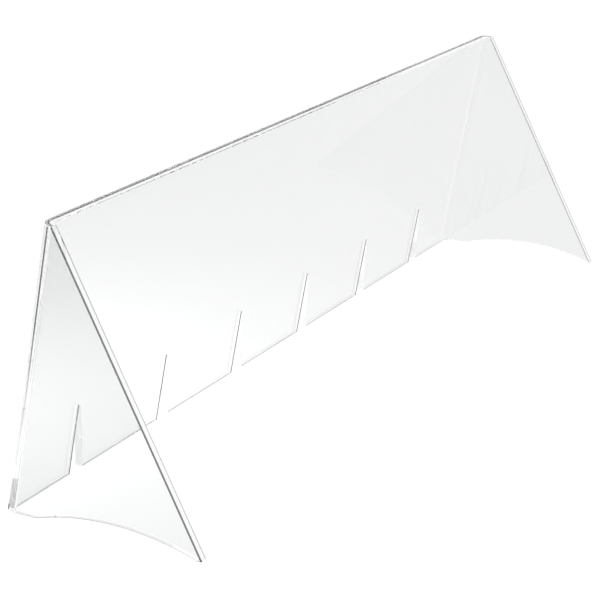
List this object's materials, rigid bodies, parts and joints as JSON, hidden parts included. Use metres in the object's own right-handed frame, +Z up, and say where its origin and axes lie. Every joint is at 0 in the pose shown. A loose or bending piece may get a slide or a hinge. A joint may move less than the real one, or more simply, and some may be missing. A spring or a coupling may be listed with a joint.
{
  "type": "sneeze guard",
  "caption": "Free-standing clear acrylic food shield: a long leaning panel with notches in its foot, held up by a triangular wing at each end.",
  "frame": {"origin": "on the surface it stands on, below the middle of the bounding box", "axes": "+X along the length of the shield, +Z up, -Y towards the open side that the wings reach into"},
  "size_m": [0.61, 0.137, 0.181],
  "materials": {
    "acrylic": "polished"
  },
  "bodies": {
    "root": {"front_panel": "acrylic", "left_corner": "acrylic", "right_corner": "acrylic", "left_wing": "acrylic", "right_wing": "acrylic"}
  },
  "joints": []
}
